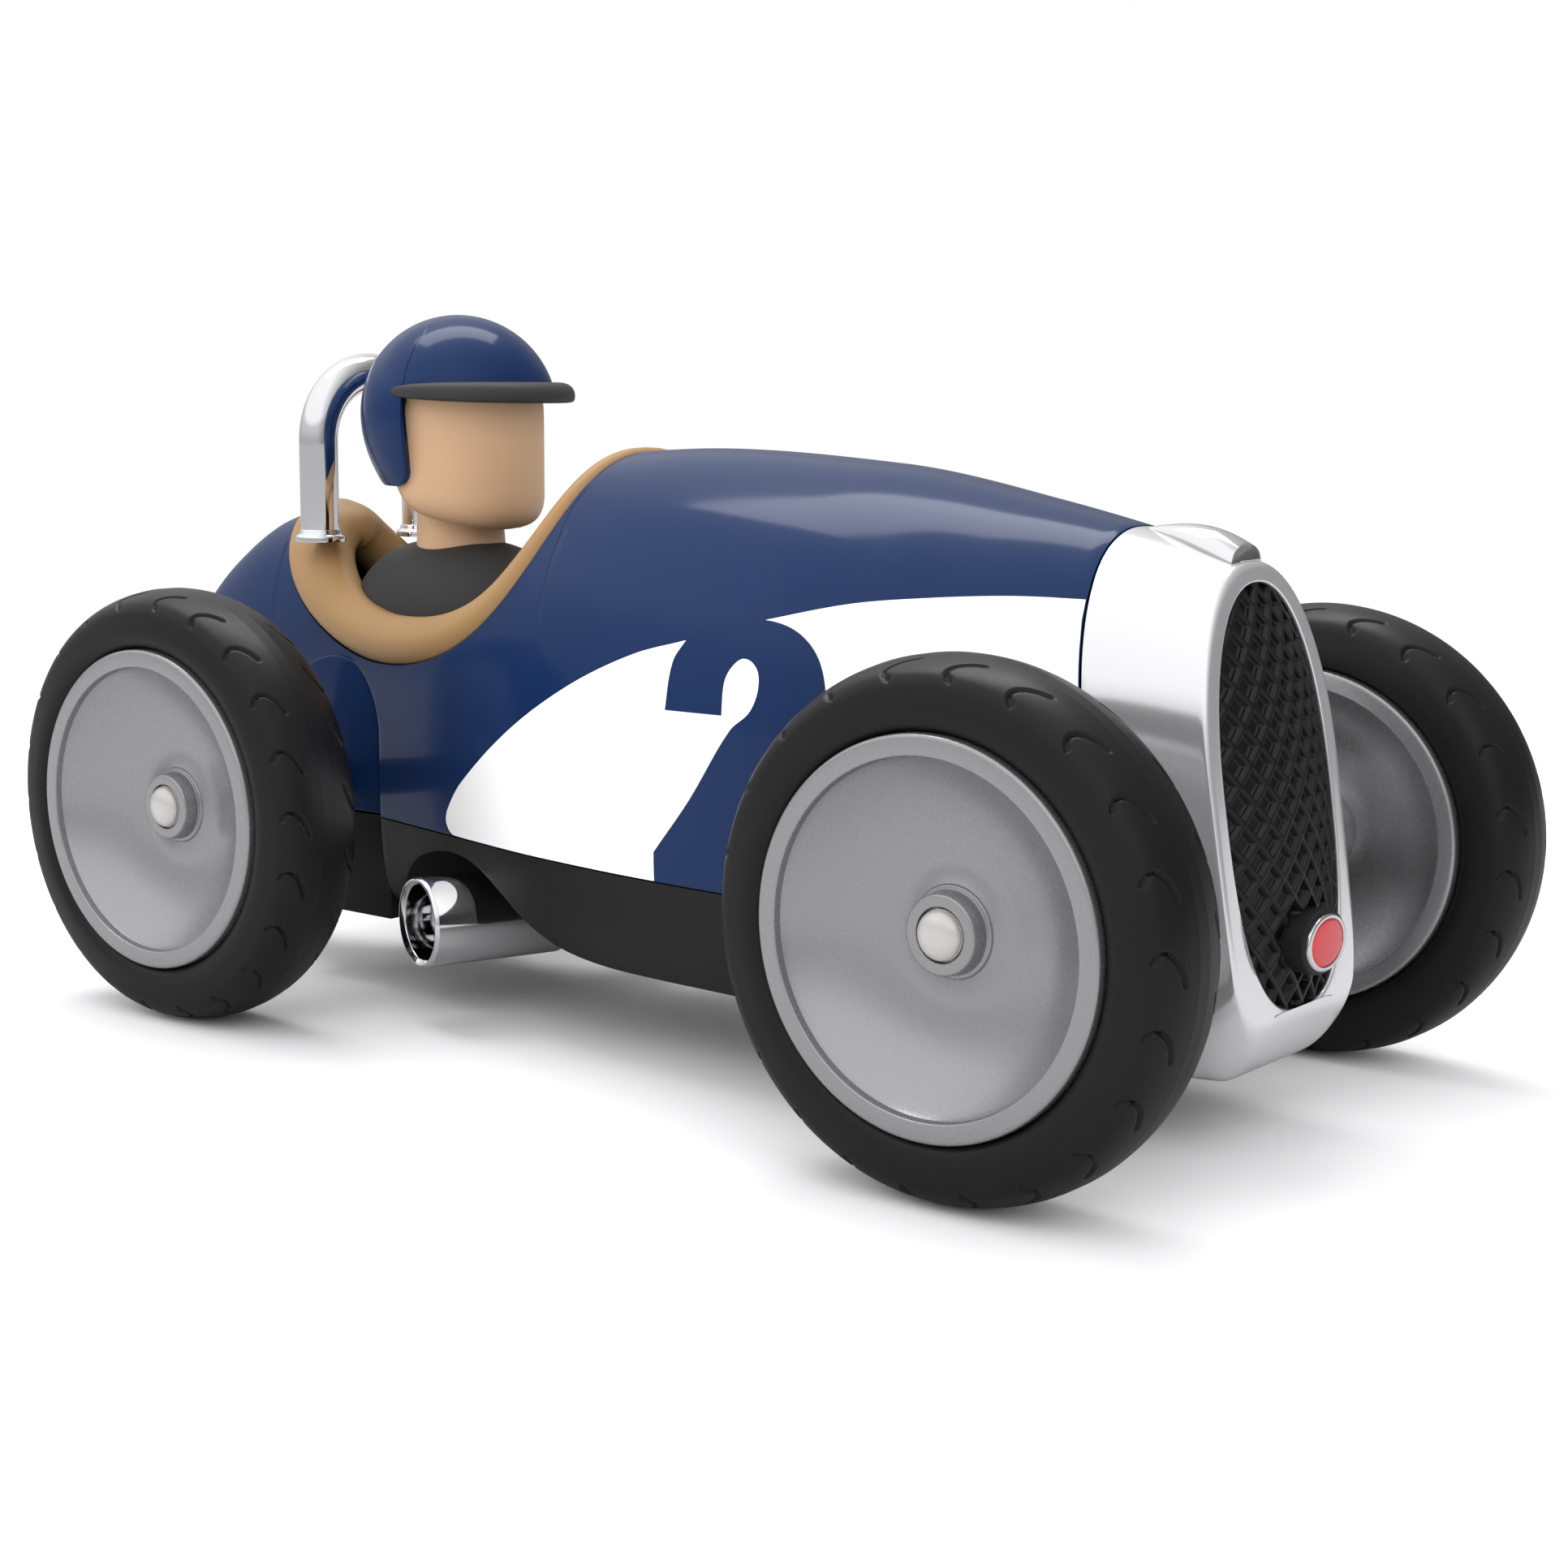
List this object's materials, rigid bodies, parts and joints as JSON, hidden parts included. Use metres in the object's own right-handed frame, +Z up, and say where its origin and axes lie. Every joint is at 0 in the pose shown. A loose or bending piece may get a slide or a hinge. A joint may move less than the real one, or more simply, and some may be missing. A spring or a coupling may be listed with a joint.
{
  "type": "push-along toy racing car",
  "caption": "Toy racing car pushed along by hand, with a fixed faceless driver, roll hoop, stub exhausts, raked grille and free-turning disc wheels.",
  "frame": {"origin": "on the floor, under the middle of the whole car, tail tip to front tyres", "axes": "+X to the nose, +Y to the driver's left, +Z up"},
  "size_m": [0.29, 0.1334, 0.1307],
  "materials": {
    "blue_gloss": "glossy navy-blue moulded plastic",
    "black_satin": "satin black moulded plastic",
    "black_matt": "matt black plastic",
    "silver_gloss": "bright silver lacquer on plastic",
    "silver_paint": "silver-grey paint on plastic",
    "chrome": "bright chrome plating",
    "tan_satin": "satin tan soft plastic, leather look",
    "grey_matt": "matt dark-grey plastic",
    "skin_matt": "satin light-tan plastic",
    "rubber": "matt black rubber",
    "steel": "plain steel wire and screws",
    "pearl": "pearly white push-on cap",
    "nylon": "natural nylon bush",
    "red_gloss": "red enamel look"
  },
  "bodies": {
    "car": {"axle_cap_front_left": "pearl", "axle_cap_front_right": "pearl", "axle_cap_rear_left": "pearl", "axle_cap_rear_right": "pearl", "axle_spacer_front_left": "black_satin", "axle_spacer_front_right": "black_satin", "axle_spacer_rear_left": "black_satin", "axle_spacer_rear_right": "black_satin", "badge_base": "black_matt", "badge_bezel": "chrome", "badge_disc": "red_gloss", "body_screw_left": "steel", "body_screw_rear": "steel", "body_screw_right": "steel", "body_shell": "blue_gloss", "chassis_pan": "black_satin", "cockpit_rim": "tan_satin", "cockpit_tray": "black_matt", "driver_head": "skin_matt", "driver_helmet": "blue_gloss", "driver_neck": "skin_matt", "driver_screw": "steel", "driver_torso": "grey_matt", "exhaust_left": "chrome", "exhaust_right": "chrome", "front_axle": "steel", "grille_insert": "black_matt", "helmet_visor": "grey_matt", "hoop_foot_left": "chrome", "hoop_foot_right": "chrome", "nose_ridge": "chrome", "nose_screw": "steel", "nose_shell": "silver_gloss", "rear_axle": "steel", "roll_hoop": "chrome"},
    "wheel_rear_right": {"hub_bush_rear_right": "nylon", "tyre_rear_right": "rubber", "wheel_disc_rear_right": "silver_paint"},
    "wheel_rear_left": {"hub_bush_rear_left": "nylon", "tyre_rear_left": "rubber", "wheel_disc_rear_left": "silver_paint"},
    "wheel_front_right": {"hub_bush_front_right": "nylon", "tyre_front_right": "rubber", "wheel_disc_front_right": "silver_paint"},
    "wheel_front_left": {"hub_bush_front_left": "nylon", "tyre_front_left": "rubber", "wheel_disc_front_left": "silver_paint"}
  },
  "joints": [
    {"name": "rear_right_wheel_spin", "type": "hinge", "parent": "car", "child": "wheel_rear_right", "pos_m": [-0.069, -0.05675, 0.04], "axis": [0, 1, 0], "continuous": true},
    {"name": "rear_left_wheel_spin", "type": "hinge", "parent": "car", "child": "wheel_rear_left", "pos_m": [-0.069, 0.05675, 0.04], "axis": [0, 1, 0], "continuous": true},
    {"name": "front_right_wheel_spin", "type": "hinge", "parent": "car", "child": "wheel_front_right", "pos_m": [0.105, -0.05675, 0.04], "axis": [0, 1, 0], "continuous": true},
    {"name": "front_left_wheel_spin", "type": "hinge", "parent": "car", "child": "wheel_front_left", "pos_m": [0.105, 0.05675, 0.04], "axis": [0, 1, 0], "continuous": true}
  ]
}
